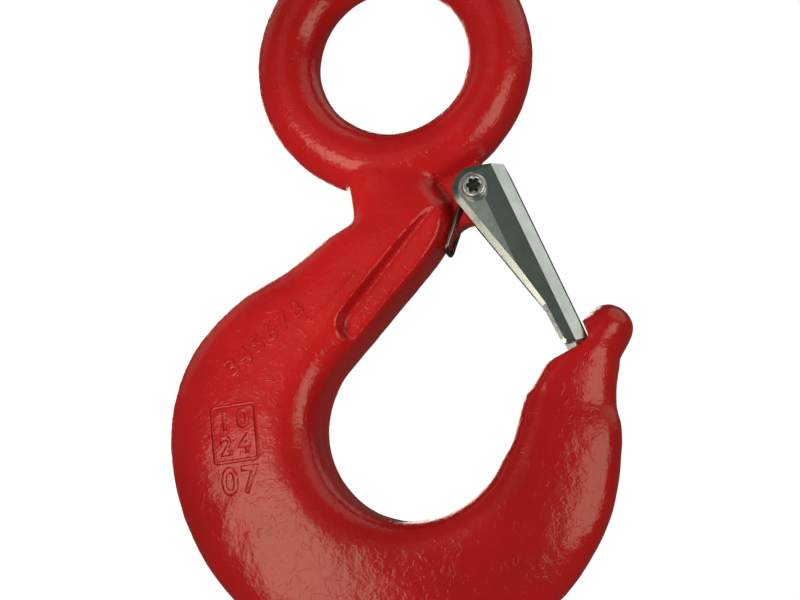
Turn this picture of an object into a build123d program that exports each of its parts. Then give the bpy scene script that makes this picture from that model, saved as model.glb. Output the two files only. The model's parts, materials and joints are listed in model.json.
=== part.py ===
"""Eye sling hook with a spring-loaded safety latch, for 10 mm grade 80 chain.

The hook is one drop forging: a round eye, a short neck, a shank, a wide bowl and a point that
ends in a rounded nose. A stamped channel latch turns on a screw through a lug on the inner side
of the neck. A double torsion spring round that screw keeps the latch shut against a notch under
the nose.

Frame: millimetres, the hook lies in the XZ plane, +Z up, X towards the point, Y across the
thickness. The origin is the centre of the eye. The latch is drawn shut.
"""

from build123d import *
from math import acos, atan2, cos, degrees, hypot, radians, sin
import os

os.makedirs("parts", exist_ok=True)

# ---------------------------------------------------------------- eye
EYE_HOLE_R = 17.0  # hole for the master link or shackle
EYE_BAR_R = 7.3  # round bar that the eye is forged from
EYE_LAND_DEPTH = 0.12  # sizing punch leaves a narrow cylindrical land in the hole

# ---------------------------------------------------------------- bowl, shank and point
BOWL_R = 20.3  # seat that the load hangs in
BOWL_X = 5.2  # bowl centre, measured from the eye centre
BOWL_Z = -82.5
SHANK_LEAN = 40.8  # inner edge of the shank, from the vertical
SECTION_FULLNESS = 3.1  # 2 is an ellipse, more is squarer
# Every section's last value is its outer side's thickness as a share of its inner side's.
# Neck, from the eye down: X and Z of the inner edge, X and Z of the outer edge, half thickness.
NECK_SECTIONS = [
    (14.5, -23.5, -12.5, -23.5, 7.1, 1.0),
    (13.9, -36.5, -9.1, -32.8, 8.3, 1.0),
    (11.2, -44.0, -9.0, -37.6, 9.6, 0.96),
]
# Shank: distance up from the bowl's tangent point, depth, half thickness.
SHANK_SECTIONS = [
    (18.0, 21.9, 10.7, 0.90),
    (9.0, 23.7, 11.3, 0.84),
    (0.0, 27.0, 11.9, 0.78),
]
# Round the bowl: turn from +X in degrees, radial depth of the section, half thickness.
BOWL_SECTIONS = [
    (160, 32.2, 12.6, 0.72),
    (180, 34.4, 13.2, 0.67),
    (205, 34.3, 13.6, 0.62),
    (228, 33.7, 13.7, 0.59),
    (250, 32.5, 13.6, 0.57),
    (260, 31.8, 13.5, 0.56),
    (270, 31.1, 13.3, 0.55),
    (280, 30.3, 13.1, 0.54),
    (290, 29.4, 12.9, 0.53),
    (300, 28.5, 12.7, 0.52),
    (310, 27.7, 12.4, 0.51),
    (319, 26.9, 12.1, 0.50),
    (328, 26.1, 11.8, 0.49),
    (337, 25.3, 11.5, 0.48),
]
# Up the point: height over the bowl centre, inner edge past the bowl radius, width, half thickness.
POINT_SECTIONS = [
    (-5.4, 0.1, 23.6, 11.3, 0.48),
    (0.6, 2.1, 21.3, 10.6, 0.48),
    (6.4, 4.4, 18.4, 10.0, 0.52),
    (12.4, 8.1, 15.5, 9.3, 0.62),
]

# ---------------------------------------------------------------- nose
NOSE_X = 41.7  # nose centre, measured from the bowl centre
NOSE_Z = 19.9
NOSE_LEAN = 37.7  # axis of the nose, from the vertical
NOSE_R = 5.3  # nose in side view
NOSE_HALF = 7.2  # nose across its thickness
NOTCH_WIDTH = 12.0
NOTCH_RISE = 15.0
NOTCH_CORNER_R = 0.4
NOSE_CLOSING = [0, 0.55, 0.85, 0.975]  # sections that round it off, as shares of its radius

# ---------------------------------------------------------------- pivot, lug and recess
PIVOT_X = 19.7
PIVOT_Z = -32.4
PIN_R = 2.0
PIN_FIT = 0.06  # running fit of the lug and the latch on the screw
LUG_R = 4.4
LUG_HALF = 2.75
LUG_ROOT = 3.0  # the lug runs this far into the shank
LUG_TURN_IN = 15.0  # where the lug meets the eye, turned from straight down
LUG_TURN_OUT = 38.0
CHIN_IN = 1.0  # lowest point of the lug, from the pivot
CHIN_DROP = 6.0
CHIN_HOLLOW_R = 6.0
LAND_HALF = 7.0  # thinned land that the open latch straddles
WALL_LEAN = 38.3  # wall of the recess, from the vertical
WALL_CLEAR = 0.7  # ear to the recess wall
RECESS_LENGTH = 42.0  # below the pivot
RECESS_TOP = 4.0  # above the pivot
RECESS_CORNER_R = 3.5
RECESS_DRAFT = 16.0

# ---------------------------------------------------------------- latch
LATCH_LEAN = 24.2  # back of the latch, from the vertical
LATCH_HALF = 9.0  # half width across the ears
SHEET = 1.5
BACK_OFFSET = 7.65  # outside of the back, from the pivot
LATCH_REACH = 39.5  # pivot to the tip, along the back
BACK_RISE = 2.2  # back above the pivot
EAR_R = 4.95
WAIST_REACH = 29.8  # where the flange stops tapering
WAIST_X = 2.1
TIP_X = 2.5
TIP_CORNER_R = 1.6
CREASE = 1.0  # where the sides start to lean in, from the pivot
FACET = 5.3  # where they turn into the flat facets beside the back, from the pivot
FACET_HALF = 8.55  # half width there
BACK_HALF = 6.2  # half width of the back
BEND_R = 0.9  # outside of the bends
RIM_DEPTH = 0.6  # rim rolled down by the press, on the outside of the sheet
RIM_WIDTH = 1.4
TIP_GAP = 0.3  # latch to notch, shut

# ---------------------------------------------------------------- spring
WIRE_R = 0.55
COIL_R = 3.1  # centre line of the wire round the screw
COIL_PITCH = 1.15
COIL_WHOLE_TURNS = 2
COIL_GAP = 0.1  # coil to lug, and wire to what it bears on
SPRING_REACH = 13.0  # free leg along the latch
SPRING_TOE_IN = 2.2  # free leg towards the middle
SEAT_OUT = 1.1  # bridge that bears on the shank, from the last neck station's inner edge
SEAT_DROP = 0.5

# ---------------------------------------------------------------- screw and nut
HEAD_R = 2.75
HEAD_H = 1.9
HEAD_ROUND = 0.8
STAR_R = 1.65
STAR_LOBE_R = 0.42
STAR_DEPTH = 1.1
HEAD_GAP = 0.15  # head and nut stand off the ears
NUT_AF = 7.0
NUT_H = 3.2
NUT_FIT = 0.03
NUT_TURN = 0.5  # height of the turned-down corners
SCREW_END = 0.9  # screw beyond the nut
SCREW_POINT = 0.4

EYE_R = EYE_HOLE_R - EYE_LAND_DEPTH + EYE_BAR_R  # centre line of the eye's bar
BACK_IN = BACK_OFFSET - SHEET
NUT_CORNER_R = NUT_AF / 3**0.5
PIVOT = (PIVOT_X, 0, PIVOT_Z)
NOSE = (BOWL_X + NOSE_X, 0, BOWL_Z + NOSE_Z)
SEAT = (NECK_SECTIONS[-1][0] + SEAT_OUT, 0, NECK_SECTIONS[-1][1] - SEAT_DROP)
SWING_R = hypot(LATCH_REACH, BACK_OFFSET) + TIP_GAP
ACROSS = 2 * LATCH_HALF + 8 * SHEET  # longer than anything it cuts across


def polar(radius, turn):
    """Point at a radius and a turn about the bowl centre."""
    return BOWL_X + radius * cos(radians(turn)), BOWL_Z + radius * sin(radians(turn))


def section_plane(inner, outer):
    """Plane across the body, its X running from the inner edge to the outer edge."""
    across = Vector(outer[0] - inner[0], 0, outer[1] - inner[1])
    return Plane(origin=(inner[0], 0, inner[1]), x_dir=across, z_dir=across.cross(Vector(0, 1, 0)))


def section_outline(depth, half, taper, fullness=SECTION_FULLNESS, middle=None):
    """Closed outline with rounded corners, thicker on the inner side that carries the load."""
    start = 0 if middle is None else middle - depth / 2
    points = []
    for turn in range(0, 360, 20):
        across, up = cos(radians(turn)), sin(radians(turn))
        x = depth / 2 * (1 - abs(across) ** (2 / fullness) * (1 if across > 0 else -1))
        y = half * abs(up) ** (2 / fullness) * (1 if up > 0 else -1)
        points.append((start + x, y * (1 + (taper - 1) * x / depth)))
    return points


# ================================================================ hook body
# Stations run from the eye down the shank, round the bowl and up the point.
stations = [((x_in, z_in), (x_out, z_out), *size) for x_in, z_in, x_out, z_out, *size in NECK_SECTIONS]
lean = radians(SHANK_LEAN)
tangent_x, tangent_z = polar(BOWL_R, 180 - SHANK_LEAN)
for up, depth, *size in SHANK_SECTIONS:
    foot = (tangent_x + up * sin(lean), tangent_z + up * cos(lean))
    stations.append((foot, (foot[0] - depth * cos(lean), foot[1] + depth * sin(lean)), *size))
for turn, depth, *size in BOWL_SECTIONS:
    stations.append((polar(BOWL_R, turn), polar(BOWL_R + depth, turn), *size))
for rise, past, width, *size in POINT_SECTIONS:
    foot = (BOWL_X + BOWL_R + past, BOWL_Z + rise)
    stations.append((foot, (foot[0] + width, foot[1]), *size))
nose_side = (NOSE_R * cos(radians(NOSE_LEAN)), NOSE_R * sin(radians(NOSE_LEAN)))
nose_inner = (NOSE[0] - nose_side[0], NOSE[2] + nose_side[1])
nose_outer = (NOSE[0] + nose_side[0], NOSE[2] - nose_side[1])
nose_plane = section_plane(nose_inner, nose_outer)

latch_plane = Plane(
    origin=PIVOT, x_dir=(cos(radians(LATCH_LEAN)), 0, sin(radians(LATCH_LEAN))), z_dir=(0, -1, 0)
)
wall_plane = Plane(
    origin=PIVOT, x_dir=(cos(radians(WALL_LEAN)), 0, -sin(radians(WALL_LEAN))), z_dir=(0, -1, 0)
)

fold_plane = Plane(
    origin=latch_plane.from_local_coords((0, EAR_R + SHEET, 0)),
    x_dir=latch_plane.x_dir,
    z_dir=-latch_plane.y_dir,
)

with BuildPart() as hook_body:
    # bowl, shank and point
    for inner, outer, half, taper in stations:
        depth = hypot(outer[0] - inner[0], outer[1] - inner[1])
        with BuildSketch(section_plane(inner, outer)):
            with BuildLine():
                Spline(*section_outline(depth, half, taper), periodic=True)
            make_face()
    for share in NOSE_CLOSING:
        size = (1 - share**2) ** 0.5
        with BuildSketch(nose_plane.offset(share * NOSE_R)):
            with BuildLine():
                Spline(*section_outline(2 * NOSE_R * size, NOSE_HALF * size, 1, 2, NOSE_R), periodic=True)
            make_face()
    loft()

    # lug that the latch turns on, with a chin over the spring's seat
    with BuildSketch(Plane.XZ.offset(-LUG_HALF)):
        with Locations((PIVOT_X, PIVOT_Z)):
            Circle(LUG_R)
        with BuildLine():
            seat = (SEAT[0] - LUG_ROOT, SEAT[2] + WIRE_R)
            chin = (PIVOT_X - CHIN_IN, PIVOT_Z - CHIN_DROP)
            Polyline(
                seat,
                (PIVOT_X - LUG_ROOT - LUG_R, PIVOT_Z),
                (EYE_R * sin(radians(LUG_TURN_IN)), -EYE_R * cos(radians(LUG_TURN_IN))),
                (EYE_R * sin(radians(LUG_TURN_OUT)), -EYE_R * cos(radians(LUG_TURN_OUT))),
                (PIVOT_X + LUG_R * sin(radians(LUG_TURN_OUT)), PIVOT_Z + LUG_R * cos(radians(LUG_TURN_OUT))),
                (PIVOT_X + LUG_R * cos(radians(LATCH_LEAN)), PIVOT_Z - LUG_R * sin(radians(LATCH_LEAN))),
                chin,
            )
            seat_edge = (SEAT[0] + WIRE_R, seat[1])
            RadiusArc(chin, seat_edge, -CHIN_HOLLOW_R)
            Line(seat_edge, seat)
        make_face()
    extrude(amount=2 * LUG_HALF)

    # eye, with its narrow land in the hole
    with BuildSketch(Plane.XY):
        with Locations((EYE_R, 0)):
            Circle(EYE_BAR_R)
    revolve(axis=Axis.Y)
    with BuildSketch(Plane.XZ):
        Circle(EYE_HOLE_R)
    extrude(amount=ACROSS, both=True, mode=Mode.SUBTRACT)

    # thinned land, one side and the other
    for side in (1, -1):
        with BuildSketch(wall_plane.offset(side * LAND_HALF)):
            with Locations((-EAR_R - WALL_CLEAR, RECESS_TOP)):
                Rectangle(ACROSS, RECESS_TOP + RECESS_LENGTH, align=(Align.MIN, Align.MAX))
            fillet(vertices().group_by(Axis.Y)[0].sort_by(Axis.X)[0], RECESS_CORNER_R)
        extrude(amount=side * LATCH_HALF, taper=-RECESS_DRAFT, mode=Mode.SUBTRACT)

    # notch that the tip of the latch shuts against, its floor just clear of the tip's swing
    with BuildSketch(latch_plane):
        Circle(SWING_R)
        with Locations((BACK_OFFSET + TIP_GAP, -SWING_R)):
            Rectangle(NOTCH_WIDTH, NOTCH_RISE, align=(Align.MAX, Align.MIN), mode=Mode.INTERSECT)
        fillet(vertices().group_by(Axis.X)[-1].sort_by(Axis.Y)[0], NOTCH_CORNER_R)
    extrude(amount=ACROSS, both=True, mode=Mode.SUBTRACT)

    # bore for the screw
    with BuildSketch(latch_plane):
        Circle(PIN_R + PIN_FIT)
    extrude(amount=ACROSS, both=True, mode=Mode.SUBTRACT)
hook_body.part.label = "hook_body"
export_step(hook_body.part, "parts/hook_body.step")

# ================================================================ latch
ear_turn = atan2(-WAIST_REACH, WAIST_X) - acos(EAR_R / hypot(WAIST_X, WAIST_REACH))
ear_low = (EAR_R * cos(ear_turn), EAR_R * sin(ear_turn))
ear_top_turn = radians(90 - 0.5 * LATCH_LEAN)
ear_top = (EAR_R * cos(ear_top_turn), EAR_R * sin(ear_top_turn))


def latch_side(inset):
    """Side outline of the latch: ear, tapering flange and squared tip, its free edge inset."""
    with BuildSketch() as side:
        with BuildLine():
            ThreePointArc(ear_low, (-EAR_R * cos(radians(45)), EAR_R * sin(radians(45))), ear_top)
            Polyline(
                ear_top,
                (BACK_OFFSET + RIM_WIDTH, BACK_RISE),
                (BACK_OFFSET + RIM_WIDTH, -LATCH_REACH),
                (TIP_X, -LATCH_REACH),
                (WAIST_X, -WAIST_REACH),
                ear_low,
            )
        make_face()
        fillet(vertices().group_by(Axis.Y)[0].sort_by(Axis.X)[0], TIP_CORNER_R)
        if inset:
            offset(amount=-inset, kind=Kind.INTERSECTION, mode=Mode.REPLACE)
    return side.sketch


with BuildPart() as latch_form:
    # everything inside the latch's side outline, with the rolled rim
    with BuildSketch(latch_plane):
        add(latch_side(0))
    extrude(amount=LATCH_HALF - RIM_DEPTH, both=True)
    for side in (1, -1):
        for out, inset in ((LATCH_HALF - RIM_DEPTH, 0), (LATCH_HALF, RIM_WIDTH)):
            with BuildSketch(latch_plane.offset(side * out)):
                add(latch_side(inset))
        loft()

fold_line = [(-3 * EAR_R, LATCH_HALF), (CREASE, LATCH_HALF), (FACET, FACET_HALF), (BACK_OFFSET, BACK_HALF)]
fold_line += [(x, -y) for x, y in reversed(fold_line)]
with BuildPart() as latch:
    # folded channel, open towards the shank: ears upright, sides leaning in, facets, back
    with BuildSketch(fold_plane):
        Polygon(*fold_line, align=None)
        fillet(vertices().sort_by(Axis.X)[4:], BEND_R)
    extrude(amount=LATCH_REACH + 2 * EAR_R)
    with BuildSketch(fold_plane):
        Polygon(*fold_line, align=None)
        offset(amount=-SHEET, kind=Kind.INTERSECTION, mode=Mode.REPLACE)
    extrude(amount=LATCH_REACH + 2 * EAR_R, mode=Mode.SUBTRACT)
    add(latch_form.part, mode=Mode.INTERSECT)
    with BuildSketch(latch_plane):
        Circle(PIN_R + PIN_FIT)
    extrude(amount=ACROSS, both=True, mode=Mode.SUBTRACT)
latch.part.label = "latch"
export_step(latch.part, "parts/latch.step")

# ================================================================ spring
# Each half runs from the bridge on the shank, up to its coil, round, and out along the back.
coil_start = LUG_HALF + COIL_GAP + WIRE_R
bridge = (SEAT[0] - PIVOT_X, SEAT[2] - PIVOT_Z)
bridge_turn = degrees(atan2(bridge[1], bridge[0]) - acos(COIL_R / hypot(*bridge))) % 360
free = (
    (BACK_IN - WIRE_R - COIL_GAP) * cos(radians(LATCH_LEAN)) + SPRING_REACH * sin(radians(LATCH_LEAN)),
    (BACK_IN - WIRE_R - COIL_GAP) * sin(radians(LATCH_LEAN)) - SPRING_REACH * cos(radians(LATCH_LEAN)),
)
free_turn = degrees(atan2(free[1], free[0]) + acos(COIL_R / hypot(*free))) % 360
coil_turns = COIL_WHOLE_TURNS + ((bridge_turn - free_turn) % 360) / 360
coil_end = coil_start + coil_turns * COIL_PITCH


def on_coil(turn, y):
    """Point of the coil's centre line, turned from +X about the pivot."""
    return PIVOT_X + COIL_R * cos(radians(turn)), y, PIVOT_Z + COIL_R * sin(radians(turn))


coil_plane = Plane(
    origin=(PIVOT_X, coil_start, PIVOT_Z),
    x_dir=(cos(radians(bridge_turn)), 0, sin(radians(bridge_turn))),
    z_dir=(0, 1, 0),
)
coil = coil_plane.location * Edge.make_helix(COIL_PITCH, coil_end - coil_start, COIL_R)
free_end = (PIVOT_X + free[0], coil_end - SPRING_TOE_IN, PIVOT_Z + free[1])
with BuildPart() as latch_spring:
    with BuildLine() as seat_leg:
        seat_corner = (SEAT[0], coil_start, SEAT[2])
        FilletPolyline(SEAT, seat_corner, on_coil(bridge_turn, coil_start), radius=2 * WIRE_R)
    with BuildLine() as free_leg:
        Line(on_coil(free_turn, coil_end), free_end)
    for path in (seat_leg.line, coil, free_leg.line):
        with BuildSketch(Plane(origin=path @ 0, z_dir=path % 0)):
            Circle(WIRE_R)
        sweep(path=path)
    # joints and ends, a hair proud of the wire so that the sweeps fuse
    with Locations(coil @ 0, coil @ 1, free_end):
        Sphere(WIRE_R * 1.01)
    mirror(about=Plane.XZ)
latch_spring.part.label = "latch_spring"
export_step(latch_spring.part, "parts/latch_spring.step")

# ================================================================ pivot screw
head_y = LATCH_HALF + HEAD_GAP
nut_y = LATCH_HALF + HEAD_GAP
with BuildPart() as pivot_screw:
    # shank from under the head to past the nut
    with BuildSketch(Plane(origin=(PIVOT_X, -head_y, PIVOT_Z), x_dir=(1, 0, 0), z_dir=(0, 1, 0))):
        Circle(PIN_R)
    extrude(amount=head_y + nut_y + NUT_H + SCREW_END)
    chamfer(edges().sort_by(Axis.Y)[-1], SCREW_POINT)
    # button head with a six-lobed socket
    with BuildSketch(Plane(origin=(PIVOT_X, -head_y, PIVOT_Z), x_dir=(1, 0, 0), z_dir=(0, -1, 0))):
        Circle(HEAD_R)
    extrude(amount=HEAD_H)
    fillet(edges().sort_by(Axis.Y)[0], HEAD_ROUND)
    with BuildSketch(Plane(origin=(PIVOT_X, -head_y - HEAD_H, PIVOT_Z), x_dir=(1, 0, 0), z_dir=(0, -1, 0))):
        Circle(STAR_R - STAR_LOBE_R)
        with PolarLocations(STAR_R - STAR_LOBE_R, 6):
            Circle(STAR_LOBE_R)
    extrude(amount=-STAR_DEPTH, mode=Mode.SUBTRACT)
pivot_screw.part.label = "pivot_screw"
export_step(pivot_screw.part, "parts/pivot_screw.step")

# ================================================================ lock nut
with BuildPart() as lock_nut:
    with BuildSketch(Plane(origin=(PIVOT_X, nut_y, PIVOT_Z), x_dir=(1, 0, 0), z_dir=(0, 1, 0))):
        RegularPolygon(NUT_AF / 2, 6, major_radius=False)
        Circle(PIN_R + NUT_FIT, mode=Mode.SUBTRACT)
    extrude(amount=NUT_H)
    # corners turned down on both faces
    with BuildSketch(Plane(origin=(PIVOT_X, 0, PIVOT_Z), x_dir=(1, 0, 0), z_dir=(0, 0, 1))):
        with BuildLine():
            Polyline(
                (PIN_R, nut_y), (NUT_AF / 2 - NUT_FIT, nut_y), (NUT_CORNER_R, nut_y + NUT_TURN),
                (NUT_CORNER_R, nut_y + NUT_H - NUT_TURN), (NUT_AF / 2 - NUT_FIT, nut_y + NUT_H),
                (PIN_R, nut_y + NUT_H), close=True,
            )
        make_face()
    revolve(axis=Axis(PIVOT, (0, 1, 0)), mode=Mode.INTERSECT)
lock_nut.part.label = "lock_nut"
export_step(lock_nut.part, "parts/lock_nut.step")
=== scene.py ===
"""Eye sling hook with a sprung safety latch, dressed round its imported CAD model.

Lengths are in metres in the row frame: the hook lies in the XZ plane, Z up, the point towards +X,
the screw's head on the -Y side. The origin is the centre of the eye.
"""

import bpy
import json
import math
from mathutils import Matrix, Vector


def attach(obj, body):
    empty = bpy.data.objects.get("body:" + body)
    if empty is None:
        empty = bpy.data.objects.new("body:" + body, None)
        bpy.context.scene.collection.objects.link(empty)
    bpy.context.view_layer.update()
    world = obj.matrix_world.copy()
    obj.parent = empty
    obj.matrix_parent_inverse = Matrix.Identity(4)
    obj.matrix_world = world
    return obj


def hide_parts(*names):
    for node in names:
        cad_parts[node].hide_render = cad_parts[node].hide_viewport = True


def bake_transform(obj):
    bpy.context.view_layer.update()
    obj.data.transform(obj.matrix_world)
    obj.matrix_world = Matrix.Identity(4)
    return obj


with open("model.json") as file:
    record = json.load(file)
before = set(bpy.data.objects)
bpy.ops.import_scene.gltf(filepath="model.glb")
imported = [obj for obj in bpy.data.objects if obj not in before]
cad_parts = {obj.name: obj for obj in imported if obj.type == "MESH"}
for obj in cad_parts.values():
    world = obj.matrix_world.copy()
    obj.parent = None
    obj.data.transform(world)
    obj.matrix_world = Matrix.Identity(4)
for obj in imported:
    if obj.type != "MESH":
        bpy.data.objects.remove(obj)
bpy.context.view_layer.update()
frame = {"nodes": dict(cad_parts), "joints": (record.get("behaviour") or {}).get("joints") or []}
nodes = frame["nodes"]

# ---------------------------------------------------------------- forged hook
# One drop forging of alloy steel: eye, neck, shank, bowl and point. The skin is slightly uneven
# from the dies and from scale, and it is dipped in glossy red enamel that softens every edge.
SKIN_PITCH = 0.0006  # spacing of the skin's mesh
SKIN_SOFTEN = 1  # rounds of smoothing, which round every edge as thick enamel does
LUMP_SIZE, LUMP_DEPTH = 0.011, 0.00030
PIT_SIZE, PIT_DEPTH = 0.0032, 0.00010
ENAMEL_DEEP = (0.33, 0.0055, 0.0065, 1)
ENAMEL_BRIGHT = (0.40, 0.0070, 0.0085, 1)
ENAMEL_ROUGHNESS = 0.17
ENAMEL_SHINE = (1.0, 0.92, 0.78, 1)
ENAMEL_BUMP = 0.00013  # full height of the peel and the wrinkles together
TONE_SCALE, PATCH_SCALE, PEEL_SCALE, WRINKLE_SCALE = 45, 60, 620, 430
# The stamps' enamel is painted darker than the rest: painted shade in the sunk marks.
SUNK_PAINTED_SHADE, SUNK_ROUGHNESS = (0.27, 0.006, 0.007, 1), 0.55


def select_only(piece):
    bpy.ops.object.select_all(action="DESELECT")
    piece.select_set(True)
    bpy.context.view_layer.objects.active = piece


def merged_copy(node, name):
    """A copy of a CAD node's mesh as a new piece, its loose triangles merged."""
    mesh = nodes[node].data.copy()
    mesh.name = name
    mesh.materials.clear()
    piece = bpy.data.objects.new(name, mesh)
    bpy.context.collection.objects.link(piece)
    select_only(piece)
    bpy.ops.object.mode_set(mode="EDIT")
    bpy.ops.mesh.select_all(action="SELECT")
    bpy.ops.mesh.remove_doubles(threshold=1e-6)
    bpy.ops.object.mode_set(mode="OBJECT")
    return piece


def apply_modifier(piece, kind, **settings):
    modifier = piece.modifiers.new(kind.lower(), kind)
    for key, value in settings.items():
        setattr(modifier, key, value)
    select_only(piece)
    bpy.ops.object.modifier_apply(modifier=modifier.name)


def clouds(name, size, depth=1):
    texture = bpy.data.textures.new(name, "CLOUDS")
    texture.noise_scale = size
    texture.noise_depth = depth
    return texture


def new_material(name, **settings):
    """A material with its Principled shader set, and a maker for its further nodes."""
    material = bpy.data.materials.new(name)
    material.use_nodes = True
    tree = material.node_tree
    shader = tree.nodes["Principled BSDF"]
    for key, value in settings.items():
        shader.inputs[key.replace("_", " ")].default_value = value
    return material, tree, shader


def add_node(tree, kind, **settings):
    """A shader node; settings name its properties, or its inputs where it has no such property."""
    node = tree.nodes.new("ShaderNode" + kind)
    for key, value in settings.items():
        if hasattr(node, key):
            setattr(node, key, value)
        else:
            node.inputs[key.replace("_", " ")].default_value = value
    return node


hook = merged_copy("hook_body", "forged_hook")
apply_modifier(hook, "REMESH", mode="VOXEL", voxel_size=SKIN_PITCH, use_smooth_shade=True)
apply_modifier(hook, "SMOOTH", factor=0.5, iterations=SKIN_SOFTEN)
apply_modifier(hook, "DISPLACE", texture=clouds("forging_lumps", LUMP_SIZE), strength=LUMP_DEPTH,
               mid_level=0.75, texture_coords="LOCAL")
apply_modifier(hook, "DISPLACE", texture=clouds("scale_pits", PIT_SIZE), strength=PIT_DEPTH,
               mid_level=0.75, texture_coords="LOCAL")

enamel, tree, shader = new_material("red_enamel", Roughness=ENAMEL_ROUGHNESS, Specular_Tint=ENAMEL_SHINE)
place = add_node(tree, "TexCoord")
tone = add_node(tree, "TexNoise", Scale=TONE_SCALE, Detail=3)
tint = add_node(tree, "ValToRGB")
tint.color_ramp.elements[0].position = 0.35
tint.color_ramp.elements[0].color = ENAMEL_DEEP
tint.color_ramp.elements[1].position = 0.65
tint.color_ramp.elements[1].color = ENAMEL_BRIGHT
tree.links.new(tone.outputs["Fac"], tint.inputs["Fac"])
tree.links.new(tint.outputs["Color"], shader.inputs["Base Color"])
peel = add_node(tree, "TexNoise", Scale=PEEL_SCALE, Detail=3, Roughness=0.6)
patches = add_node(tree, "TexNoise", Scale=PATCH_SCALE, Detail=2)
patch_range = add_node(tree, "MapRange", From_Min=0.42, From_Max=0.70, To_Min=0.7, To_Max=1.0)
patchy_peel = add_node(tree, "Math", operation="MULTIPLY")
wrinkles = add_node(tree, "TexNoise", Scale=WRINKLE_SCALE, Detail=2, Distortion=1.2)
creases = add_node(tree, "MapRange", interpolation_type="SMOOTHSTEP",
                   From_Min=0.50, From_Max=0.62, To_Min=0.0, To_Max=0.24)
patchy_creases = add_node(tree, "Math", operation="MULTIPLY")
skin_height = add_node(tree, "Math", operation="ADD")
bump = add_node(tree, "Bump", Distance=ENAMEL_BUMP, Strength=1.0)
for noise in (tone, peel, patches, wrinkles):
    tree.links.new(place.outputs["Object"], noise.inputs["Vector"])
tree.links.new(patches.outputs["Fac"], patch_range.inputs["Value"])
tree.links.new(peel.outputs["Fac"], patchy_peel.inputs[0])
tree.links.new(patch_range.outputs["Result"], patchy_peel.inputs[1])
tree.links.new(wrinkles.outputs["Fac"], creases.inputs["Value"])
tree.links.new(creases.outputs["Result"], patchy_creases.inputs[0])
tree.links.new(patch_range.outputs["Result"], patchy_creases.inputs[1])
tree.links.new(patchy_peel.outputs["Value"], skin_height.inputs[0])
tree.links.new(patchy_creases.outputs["Value"], skin_height.inputs[1])
tree.links.new(skin_height.outputs["Value"], bump.inputs["Height"])
tree.links.new(bump.outputs["Normal"], shader.inputs["Normal"])
hook.data.materials.append(enamel)
# Darker enamel for the sunk marks: painted shade.
sunk_painted_shade_enamel, _, _ = new_material("enamel_in_stamps_painted_shade", Base_Color=SUNK_PAINTED_SHADE, Roughness=SUNK_ROUGHNESS)

# Marks of the die and of the stamps, as plain numbers. Two pairs of digits in a rounded frame and
# a pair under it are stamped in. A row of digits, a bar and a short end bar stand up on the shank.
# Beside the lug the metal has lapped over itself in forging, which leaves a short fold. The stamped
# marks and the fold are painted a darker enamel than the rest: painted shade in these hollows.
FACE_OUT = -0.03  # the marks are brought back from here onto the hook's near side
STAMP_ROUND, STAMP_DEEP = 0.00030, 0.00012
RELIEF_ROUND, RELIEF_DEEP = 0.00020, 0.00005
FRAME_SIZE, FRAME_LINE, FRAME_CORNER = (0.0108, 0.0128), 0.00085, 0.0012
FRAME_X, FRAME_Z, FRAME_TURN = -0.0323, -0.0843, 6.0
SMALL_DIGIT, LARGE_DIGIT = 0.0039, 0.0056
STAMPED_DIGITS = (("1", -0.0021, 0.0027, SMALL_DIGIT), ("0", 0.0021, 0.0027, SMALL_DIGIT),
                  ("2", -0.0021, -0.0027, SMALL_DIGIT), ("4", 0.0021, -0.0027, SMALL_DIGIT),
                  ("0", -0.0020, -0.0105, LARGE_DIGIT), ("7", 0.0026, -0.0105, LARGE_DIGIT))
RAISED_DIGITS, RAISED_DIGIT, RAISED_STEP = "345678", 0.0040, 0.0037
RAISED_X, RAISED_Z, SHANK_TURN = -0.0262, -0.0640, 41.0
BAR_WIDTH, BAR_CORNER = 0.0007, 0.0002
LONG_BAR = (0.0150, BAR_WIDTH, BAR_CORNER, -0.0113, -0.0550, SHANK_TURN + 6)
END_BAR = (BAR_WIDTH, 0.0050, BAR_CORNER, -0.0183, -0.0580, SHANK_TURN + 2)
LAP_FOLD = (0.0010, 0.0060, 0.0004, 0.0110, -0.0306, 14)


def rounded_digit(digit, cap_height, rounding, deep):
    """One digit about the origin, its strokes rounded front and back, as a closed mesh."""
    bpy.ops.object.select_all(action="DESELECT")
    bpy.ops.object.text_add()
    text = bpy.context.active_object
    text.data.body = digit
    text.data.size = cap_height / 0.70
    text.data.extrude = deep
    text.data.bevel_depth = rounding
    text.data.bevel_resolution = 2
    text.data.resolution_u = 6
    text.data.align_x = "CENTER"
    text.data.align_y = "CENTER"
    bpy.ops.object.convert(target="MESH")
    piece = bpy.context.active_object
    bpy.ops.object.mode_set(mode="EDIT")
    bpy.ops.mesh.select_all(action="SELECT")
    bpy.ops.mesh.remove_doubles(threshold=1e-6)
    bpy.ops.object.mode_set(mode="OBJECT")
    return piece


def set_on_hook(piece, x, z, turn):
    """Put a digit's middle on the forging's near side, square to the surface there."""
    bpy.context.view_layer.update()
    _, point, normal, _ = hook.ray_cast(Vector((x, FACE_OUT, z)), Vector((0, 1, 0)))
    along = Vector((math.cos(math.radians(turn)), 0, math.sin(math.radians(turn))))
    along = (along - normal * along.dot(normal)).normalized()
    piece.rotation_euler = Matrix((along, normal.cross(along), normal)).transposed().to_euler()
    piece.location = point
    select_only(piece)
    bpy.ops.object.transform_apply()
    return piece


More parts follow.
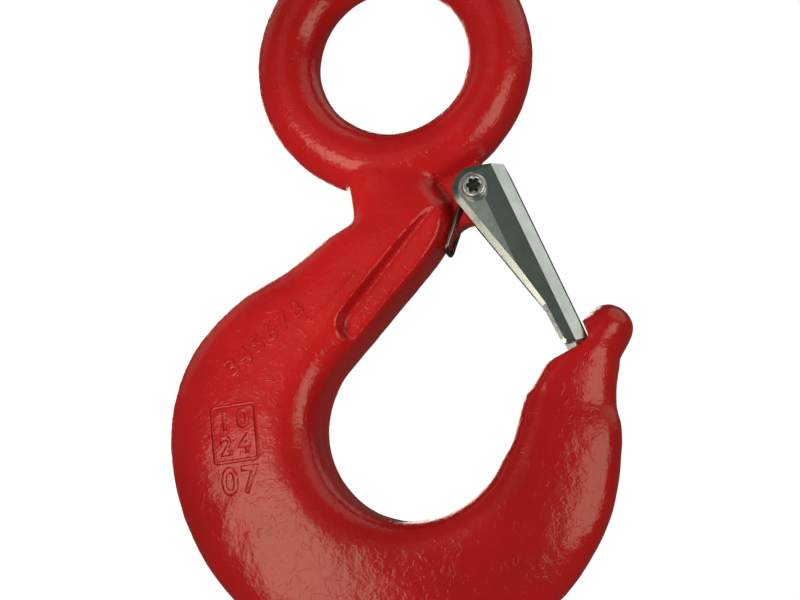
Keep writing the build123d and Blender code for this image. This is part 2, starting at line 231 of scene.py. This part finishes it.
def bar_on_hook(width, height, corner, x, z, turn, thickness, line=None):
    """Rounded rectangle, or its border alone, bent onto the forging's near side and thickened."""
    bpy.ops.object.select_all(action="DESELECT")
    bpy.ops.mesh.primitive_plane_add(size=1, location=(x, FACE_OUT, z),
                                     rotation=(math.radians(90), -math.radians(turn), 0))
    plate = bpy.context.active_object
    plate.scale = (width, height, 1)
    bpy.ops.object.transform_apply()
    bpy.ops.object.mode_set(mode="EDIT")
    bpy.ops.mesh.select_all(action="SELECT")
    bpy.ops.mesh.bevel(offset=corner, segments=5, affect="VERTICES")
    if line:
        bpy.ops.mesh.inset(thickness=line)
        bpy.ops.mesh.delete(type="FACE")
    bpy.ops.object.mode_set(mode="OBJECT")
    apply_modifier(plate, "SHRINKWRAP", target=hook, wrap_method="PROJECT", use_project_y=True)
    apply_modifier(plate, "SOLIDIFY", thickness=2 * thickness, offset=0)
    apply_modifier(plate, "BEVEL", width=0.7 * thickness, segments=3, limit_method="ANGLE",
                   angle_limit=math.radians(60))
    return plate


def combine(pieces, operation, paint):
    """Cut the pieces out of the forging, or grow them onto it, their faces in this paint."""
    select_only(pieces[0])
    for piece in pieces:
        piece.data.materials.clear()
        piece.data.materials.append(paint)
        piece.select_set(True)
    bpy.ops.object.join()
    apply_modifier(hook, "BOOLEAN", operation=operation, object=pieces[0], solver="MANIFOLD")
    bpy.data.objects.remove(pieces[0])


stamps = [bar_on_hook(*FRAME_SIZE, FRAME_CORNER, FRAME_X, FRAME_Z, FRAME_TURN,
                      STAMP_ROUND + STAMP_DEEP, FRAME_LINE)]
lean = math.radians(FRAME_TURN)
for digit, dx, dz, cap_height in STAMPED_DIGITS:
    stamps.append(set_on_hook(rounded_digit(digit, cap_height, STAMP_ROUND, STAMP_DEEP),
                              FRAME_X + dx * math.cos(lean) - dz * math.sin(lean),
                              FRAME_Z + dx * math.sin(lean) + dz * math.cos(lean), FRAME_TURN))
stamps.append(bar_on_hook(*LAP_FOLD, STAMP_ROUND + STAMP_DEEP))
combine(stamps, "DIFFERENCE", sunk_painted_shade_enamel)

raised = [bar_on_hook(*LONG_BAR, RELIEF_ROUND), bar_on_hook(*END_BAR, RELIEF_ROUND)]
lean = math.radians(SHANK_TURN)
for step, digit in enumerate(RAISED_DIGITS):
    along = RAISED_STEP * (step - (len(RAISED_DIGITS) - 1) / 2)
    raised.append(set_on_hook(rounded_digit(digit, RAISED_DIGIT, RELIEF_ROUND, RELIEF_DEEP),
                              RAISED_X + along * math.cos(lean), RAISED_Z + along * math.sin(lean),
                              SHANK_TURN))
combine(raised, "UNION", enamel)
select_only(hook)
bpy.ops.object.shade_smooth_by_angle(angle=math.radians(40))
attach(hook, "hook")
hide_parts("hook_body")


# ---------------------------------------------------------------- latch
# A channel pressed from 1.5 mm steel sheet and zinc plated: two round ears on the screw, sides
# that lean in to the back, and a squared tip that shuts into the notch under the nose.
ZINC_LIGHT, ZINC_DARK, ZINC_POLISH = (0.72, 0.75, 0.71, 1), (0.56, 0.60, 0.55, 1), 0.2


def plated_metal_group():
    """Zinc plate: cloudy tone, uneven polish and a fine grain, shared by every plated piece."""
    group = bpy.data.node_groups.new("plated_metal", "ShaderNodeTree")
    for socket, kind, value in (("Light", "Color", (0.7, 0.7, 0.7, 1)), ("Dark", "Color", (0.5, 0.5, 0.5, 1)),
                                ("Polish", "Float", 0.25), ("Scale", "Float", 260),
                                ("Grain", "Float", 1.0)):
        item = group.interface.new_socket(name=socket, in_out="INPUT", socket_type="NodeSocket" + kind)
        item.default_value = value
    for socket, kind in (("Base Color", "Color"), ("Roughness", "Float"), ("Normal", "Vector")):
        group.interface.new_socket(name=socket, in_out="OUTPUT", socket_type="NodeSocket" + kind)
    given = group.nodes.new("NodeGroupInput")
    result = group.nodes.new("NodeGroupOutput")
    place = add_node(group, "TexCoord")
    cloudy = add_node(group, "TexNoise", Detail=4, Roughness=0.65)
    contrast = add_node(group, "MapRange", From_Min=0.35, From_Max=0.65)
    tone = add_node(group, "Mix", data_type="RGBA")
    low = add_node(group, "Math", operation="MULTIPLY")
    low.inputs[1].default_value = 0.75
    high = add_node(group, "Math", operation="MULTIPLY")
    high.inputs[1].default_value = 1.3
    polish = add_node(group, "MapRange")
    bump = add_node(group, "Bump", Distance=0.000012)
    link = group.links.new
    link(place.outputs["Object"], cloudy.inputs["Vector"])
    link(given.outputs["Scale"], cloudy.inputs["Scale"])
    link(cloudy.outputs["Fac"], contrast.inputs["Value"])
    link(contrast.outputs["Result"], tone.inputs["Factor"])
    link(given.outputs["Dark"], tone.inputs["A"])
    link(given.outputs["Light"], tone.inputs["B"])
    link(given.outputs["Polish"], low.inputs[0])
    link(given.outputs["Polish"], high.inputs[0])
    link(contrast.outputs["Result"], polish.inputs["Value"])
    link(high.outputs["Value"], polish.inputs["To Min"])
    link(low.outputs["Value"], polish.inputs["To Max"])
    link(given.outputs["Grain"], bump.inputs["Strength"])
    link(cloudy.outputs["Fac"], bump.inputs["Height"])
    link(tone.outputs["Result"], result.inputs["Base Color"])
    link(polish.outputs["Result"], result.inputs["Roughness"])
    link(bump.outputs["Normal"], result.inputs["Normal"])
    return group


def plated(name, light, dark, polish, scale=260, grain=1.0):
    """Plated steel in these two tones; scale sets the size of its clouds, grain its bumps."""
    material, tree, shader = new_material(name, Metallic=1.0)
    effect = tree.nodes.new("ShaderNodeGroup")
    effect.node_tree = plated_metal
    for key, value in (("Light", light), ("Dark", dark), ("Polish", polish), ("Scale", scale),
                       ("Grain", grain)):
        effect.inputs[key].default_value = value
    for socket in ("Base Color", "Roughness", "Normal"):
        tree.links.new(effect.outputs[socket], shader.inputs[socket])
    return material


def dress(piece, material):
    """The CAD node keeps its shape and takes this material all over."""
    for slot in piece.material_slots:
        slot.material = material


plated_metal = plated_metal_group()
dress(nodes["latch"], plated("zinc_plate", ZINC_LIGHT, ZINC_DARK, ZINC_POLISH, grain=0.08))

# ---------------------------------------------------------------- spring
# A double torsion spring of 1.1 mm plated wire: a bridge that bears on the shank, a coil on each
# side of the lug and a free leg behind the latch's back. It twists between hook and latch.
# The wire's dark reddish browns are a painted reflection of the red hook around it.
WIRE_RED_REFLECTION_LIGHT, WIRE_RED_REFLECTION_DARK, WIRE_POLISH = (0.30, 0.24, 0.21, 1), (0.16, 0.10, 0.085, 1), 0.35
hinge = frame["joints"][0]["pos_m"]
spring = merged_copy("latch_spring", "torsion_spring")
select_only(spring)
bpy.ops.object.shade_smooth_by_angle(angle=math.radians(40))
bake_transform(spring)
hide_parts("latch_spring")
spring.data.materials.append(plated("spring_wire", WIRE_RED_REFLECTION_LIGHT, WIRE_RED_REFLECTION_DARK, WIRE_POLISH))

# ---------------------------------------------------------------- screw and nut
# A button-head screw with a six-lobed socket runs through both ears and the lug, and a hexagon nut
# holds it on the far ear. The socket's faces are painted near black: painted shade in the recess.
SOCKET_R = 0.00170
HEAD_FACE_Y = -0.01105
SOCKET_START, SOCKET_END = HEAD_FACE_Y + 0.00005, HEAD_FACE_Y + 0.0025
SCREW_LIGHT, SCREW_DARK, SCREW_POLISH = (0.74, 0.76, 0.73, 1), (0.50, 0.52, 0.50, 1), 0.42
screw_steel = plated("screw_steel", SCREW_LIGHT, SCREW_DARK, SCREW_POLISH, scale=700)
screw = merged_copy("pivot_screw", "button_screw")
screw.data.materials.append(screw_steel)
# Near-black colour on the socket's faces is painted shade.
socket_painted_shade, _, _ = new_material("socket_painted_shade", Base_Color=(0.012, 0.014, 0.012, 1), Roughness=0.6)
screw.data.materials.append(socket_painted_shade)
for face in screw.data.polygons:
    off_axis = math.hypot(face.center.x - hinge[0], face.center.z - hinge[2])
    if off_axis < SOCKET_R and SOCKET_START < face.center.y < SOCKET_END:
        face.material_index = 1
select_only(screw)
bpy.ops.object.shade_smooth_by_angle(angle=math.radians(30))
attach(screw, "hook")
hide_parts("pivot_screw")
dress(nodes["lock_nut"], screw_steel)

# ---------------------------------------------------------------- floor, light and camera
# Pale floor well below the hanging hook. Soft boxes stand low on the left, on the right and
# behind, a lamp lights the neck, and the surround is white to look at and dim in reflections.
FLOOR_Z, FLOOR_SIZE = -0.62, 60
FLOOR_LIFT = 0.42  # added to the floor's paleness where it is seen directly
SUBJECT = Vector((0.0015, 0, -0.0546))
BOX_DISTANCE, BOX_COLOR = 0.6, (1.0, 0.92, 0.79)
bpy.ops.object.select_all(action="DESELECT")
bpy.ops.mesh.primitive_plane_add(size=FLOOR_SIZE, location=(0, 0, FLOOR_Z))
floor = bpy.context.active_object
floor.name = "floor"
floor_white, tree, shader = new_material("floor_white", Base_Color=(0.8, 0.8, 0.8, 1), Roughness=0.9)
shader.inputs["Emission Color"].default_value = (1, 1, 1, 1)
floor_sight = add_node(tree, "LightPath")
floor_lift = add_node(tree, "Math", operation="MULTIPLY")
floor_lift.inputs[1].default_value = FLOOR_LIFT
tree.links.new(floor_sight.outputs["Is Camera Ray"], floor_lift.inputs[0])
tree.links.new(floor_lift.outputs["Value"], shader.inputs["Emission Strength"])
floor.data.materials.append(floor_white)
floor.visible_glossy = False


def turned_to(piece, aim):
    return (Vector(aim) - piece.location).to_track_quat("-Z", "Y").to_euler()


def soft_box(name, towards, size, watts):
    """A rectangular soft light that faces the hook from this side."""
    light = bpy.data.lights.new(name, "AREA")
    light.shape = "RECTANGLE"
    light.size, light.size_y = size
    light.energy = watts
    light.color = BOX_COLOR
    lamp = bpy.data.objects.new(name, light)
    lamp.location = SUBJECT + BOX_DISTANCE * Vector(towards)
    lamp.rotation_euler = turned_to(lamp, SUBJECT)
    bpy.context.collection.objects.link(lamp)


soft_box("left_box", (-0.455, -0.847, -0.28), (0.275, 0.42), 1.2)
soft_box("right_box", (0.73, -0.61, -0.12), (0.35, 0.34), 0.95)
soft_box("back_box", (-0.45, 0.82, 0.30), (0.34, 0.46), 1.5)
neck_light = bpy.data.lights.new("neck_glow", "SPOT")
neck_light.energy = 6.0
neck_light.spot_size = math.radians(15)
neck_light.spot_blend = 1.0
neck_light.shadow_soft_size = 0.03
neck_lamp = bpy.data.objects.new("neck_glow", neck_light)
neck_lamp.location = (-0.199, -0.39, -0.166)
neck_lamp.rotation_euler = turned_to(neck_lamp, (-0.001, 0, -0.040))
neck_lamp.visible_glossy = False
bpy.context.collection.objects.link(neck_lamp)

world = bpy.data.worlds.new("studio")
bpy.context.scene.world = world
world.use_nodes = True
tree = world.node_tree
out = tree.nodes["World Output"]
seen = tree.nodes["Background"]
seen.inputs["Color"].default_value = (1, 1, 1, 1)
path = add_node(tree, "LightPath")
direction = add_node(tree, "TexCoord")


def bright_side(towards, start, end, strength, color):
    """Light from one side of the surround, fading in between two cosines off its direction."""
    facing = add_node(tree, "VectorMath", operation="DOT_PRODUCT")
    facing.inputs[1].default_value = Vector(towards).normalized()
    side = add_node(tree, "MapRange", interpolation_type="SMOOTHSTEP",
                    From_Min=start, From_Max=end, To_Min=0.0, To_Max=strength)
    glow = add_node(tree, "Background", Color=(*color, 1))
    tree.links.new(direction.outputs["Generated"], facing.inputs[0])
    tree.links.new(facing.outputs["Value"], side.inputs["Value"])
    tree.links.new(side.outputs["Result"], glow.inputs["Strength"])
    return glow


def total_light(*glows):
    """The sum of some backgrounds."""
    total = glows[0].outputs["Background"]
    for glow in glows[1:]:
        both = add_node(tree, "AddShader")
        tree.links.new(total, both.inputs[0])
        tree.links.new(glow.outputs["Background"], both.inputs[1])
        total = both.outputs["Shader"]
    return total


# What lights the matt side of things, and what shows in their reflections.
fill = total_light(add_node(tree, "Background", Color=(1, 1, 1, 1), Strength=0.235),
                   bright_side((0, -0.3, 0.95), 0.2, 0.95, 0.25, (1, 1, 1)),
                   bright_side((0.95, -0.2, 0.1), 0.2, 0.9, 0.12, (1, 1, 1)),
                   bright_side((-0.95, -0.1, -0.3), 0.2, 0.95, 0.42, (1, 1, 1)),
                   bright_side((0.2, 0.97, 0), 0.1, 0.9, 0.45, (1, 1, 1)))
mirrored = total_light(add_node(tree, "Background", Color=(0.7, 1, 0.82, 1), Strength=0.065),
                       bright_side((-0.78, 0.05, 0.62), 0.90, 0.98, 0.38, (1, 0.92, 0.82)),
                       bright_side((-0.28, -0.93, 0.22), 0.94, 0.985, 0.24, (1, 1, 0.95)),
                       bright_side((0.6, 0, 0.8), 0.70, 0.87, 0.72, (0.97, 1, 0.95)))
metal_view = add_node(tree, "MixShader")
tree.links.new(path.outputs["Is Glossy Ray"], metal_view.inputs["Fac"])
tree.links.new(fill, metal_view.inputs[1])
tree.links.new(mirrored, metal_view.inputs[2])
show = add_node(tree, "MixShader")
tree.links.new(path.outputs["Is Camera Ray"], show.inputs["Fac"])
tree.links.new(metal_view.outputs["Shader"], show.inputs[1])
tree.links.new(seen.outputs["Background"], show.inputs[2])
tree.links.new(show.outputs["Shader"], out.inputs["Surface"])

camera_data = bpy.data.cameras.new("camera")
camera_data.lens = 82.31
camera_data.sensor_width = 36
camera_data.clip_start = 0.01
camera = bpy.data.objects.new("camera", camera_data)
camera.location = (0.080472, -0.384370, -0.132192)
camera.rotation_euler = turned_to(camera, (0.001515, 0, -0.054571))
bpy.context.collection.objects.link(camera)
bpy.context.scene.camera = camera
bpy.context.scene.view_settings.view_transform = "Standard"
